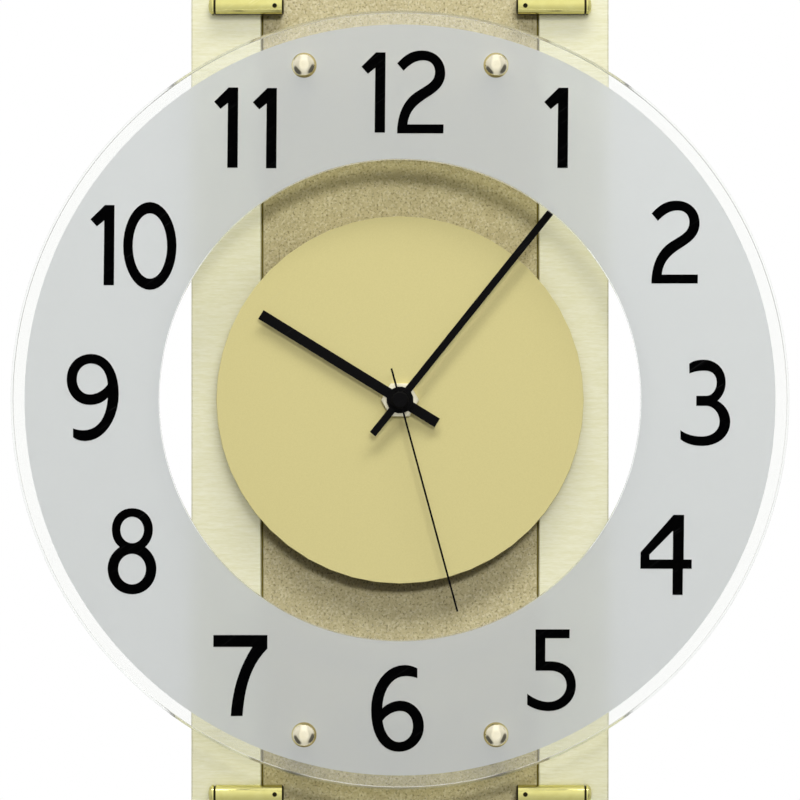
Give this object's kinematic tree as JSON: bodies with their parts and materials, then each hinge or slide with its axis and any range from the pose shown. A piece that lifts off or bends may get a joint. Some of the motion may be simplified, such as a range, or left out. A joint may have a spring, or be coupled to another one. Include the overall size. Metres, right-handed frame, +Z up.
{
  "type": "radio-controlled wall clock",
  "caption": "Wall clock with a frosted glass numeral ring standing off a tall brushed metal and stone backing, a satin disc, straight hands and a geared battery movement.",
  "frame": {"origin": "on the wall face of the hanger plate, just above the upper end of its keyhole slot", "axes": "+Z up, -Y towards the viewer in front of the dial, +X to that viewer's right; the wall is the plane y = 0"},
  "size_m": [0.2798, 0.0438, 0.42],
  "materials": {
    "brushed_gold": "pale gold anodised, brushed across",
    "stone": "fine speckled beige stone, matt",
    "satin_brass": "satin brass-coloured disc",
    "polished_brass": "polished brass",
    "frosted_glass": "mineral glass, frosted grey print with a clear bevelled margin",
    "clear_plastic": "clear moulded plastic",
    "black_hand": "matt black paint on aluminium sheet",
    "pale_nut": "pale plated brass",
    "board": "fibreboard, dark lacquer",
    "black_plastic": "black moulded plastic",
    "grey_plastic": "dark grey moulded plastic",
    "white_plastic": "natural white acetal",
    "black_rubber": "black rubber",
    "steel": "zinc-plated sheet steel and wire",
    "copper": "enamelled copper winding",
    "ferrite": "dark sintered ferrite",
    "circuit_green": "green circuit board",
    "battery_wrap": "plain wrapped steel can"
  },
  "bodies": {
    "housing": {"back_board": "board", "stone_strip": "stone", "left_panel": "brushed_gold", "right_panel": "brushed_gold", "bar_top_left": "polished_brass", "bar_top_right": "polished_brass", "bar_bottom_left": "polished_brass", "bar_bottom_right": "polished_brass", "glass_ring": "frosted_glass", "standoff_top_left": "polished_brass", "standoff_top_right": "polished_brass", "standoff_bottom_left": "polished_brass", "standoff_bottom_right": "polished_brass", "ring_collar_top_left": "clear_plastic", "ring_collar_top_right": "clear_plastic", "ring_collar_bottom_left": "clear_plastic", "ring_collar_bottom_right": "clear_plastic", "ring_cap_top_left": "polished_brass", "ring_cap_top_right": "polished_brass", "ring_cap_bottom_left": "polished_brass", "ring_cap_bottom_right": "polished_brass", "dial_disc": "satin_brass", "dial_spacer": "black_plastic", "rubber_washer": "black_rubber", "hex_nut": "pale_nut", "movement_case": "black_plastic", "movement_cover": "grey_plastic", "bearing_plate": "white_plastic", "minute_stator": "steel", "minute_coil": "copper", "second_stator": "steel", "second_coil": "copper", "circuit_board": "circuit_green", "antenna_rod": "ferrite", "antenna_coil": "copper", "battery": "battery_wrap", "contact_plate": "steel", "contact_spring": "steel", "hanger_plate": "steel", "hanger_screw_left": "steel", "hanger_screw_right": "steel", "bumper_left": "black_rubber", "bumper_right": "black_rubber"},
    "hour_hand_set": {"hour_hand": "black_hand", "hour_wheel": "white_plastic"},
    "minute_hand_set": {"minute_hand": "black_hand", "minute_wheel": "white_plastic"},
    "second_hand_set": {"second_hand": "black_hand", "second_wheel": "white_plastic"},
    "motion_wheel_body": {"motion_wheel": "white_plastic"},
    "minute_idler_body": {"minute_idler": "white_plastic"},
    "minute_rotor_body": {"minute_rotor": "ferrite"},
    "second_idler_body": {"second_idler": "white_plastic"},
    "second_rotor_body": {"second_rotor": "ferrite"},
    "set_button_body": {"set_button": "white_plastic"},
    "receive_button_body": {"receive_button": "white_plastic"},
    "reset_button_body": {"reset_button": "white_plastic"}
  },
  "joints": [
    {"name": "minute_hand_turn", "type": "hinge", "parent": "housing", "child": "minute_hand_set", "pos_m": [0, -0.0328, -0.193], "axis": [0, 1, 0], "continuous": true},
    {"name": "hour_hand_turn", "type": "hinge", "parent": "housing", "child": "hour_hand_set", "pos_m": [0, -0.031, -0.193], "axis": [0, 1, 0], "continuous": true},
    {"name": "second_hand_turn", "type": "hinge", "parent": "housing", "child": "second_hand_set", "pos_m": [0, -0.0346, -0.193], "axis": [0, 1, 0], "continuous": true},
    {"name": "motion_wheel_turn", "type": "hinge", "parent": "housing", "child": "motion_wheel_body", "pos_m": [0, -0.012, -0.181], "axis": [0, 1, 0], "continuous": true},
    {"name": "minute_idler_turn", "type": "hinge", "parent": "housing", "child": "minute_idler_body", "pos_m": [0.01052, -0.009, -0.18917], "axis": [0, 1, 0], "continuous": true},
    {"name": "minute_rotor_turn", "type": "hinge", "parent": "housing", "child": "minute_rotor_body", "pos_m": [0.01839, -0.009, -0.18366], "axis": [0, 1, 0], "continuous": true},
    {"name": "second_idler_turn", "type": "hinge", "parent": "housing", "child": "second_idler_body", "pos_m": [-0.01052, -0.006, -0.18917], "axis": [0, 1, 0], "continuous": true},
    {"name": "second_rotor_turn", "type": "hinge", "parent": "housing", "child": "second_rotor_body", "pos_m": [-0.01839, -0.006, -0.18366], "axis": [0, 1, 0], "continuous": true},
    {"name": "set_button_press", "type": "slide", "parent": "housing", "child": "set_button_body", "axis": [0, -1, 0], "range_m": [0, 0.0006], "stiffness_N_per_m": 400, "springref_m": -0.0005},
    {"name": "receive_button_press", "type": "slide", "parent": "housing", "child": "receive_button_body", "axis": [0, -1, 0], "range_m": [0, 0.0006], "stiffness_N_per_m": 400, "springref_m": -0.0005},
    {"name": "reset_button_press", "type": "slide", "parent": "housing", "child": "reset_button_body", "axis": [0, -1, 0], "range_m": [0, 0.0006], "stiffness_N_per_m": 400, "springref_m": -0.0005}
  ],
  "couplings": [
    {"joint": "hour_hand_turn", "follows": "minute_hand_turn", "ratio": 0.083333},
    {"joint": "motion_wheel_turn", "follows": "minute_hand_turn", "ratio": -0.33333},
    {"joint": "minute_idler_turn", "follows": "minute_hand_turn", "ratio": -6},
    {"joint": "minute_rotor_turn", "follows": "minute_hand_turn", "ratio": 30},
    {"joint": "second_idler_turn", "follows": "second_hand_turn", "ratio": -6},
    {"joint": "second_rotor_turn", "follows": "second_hand_turn", "ratio": 30}
  ]
}
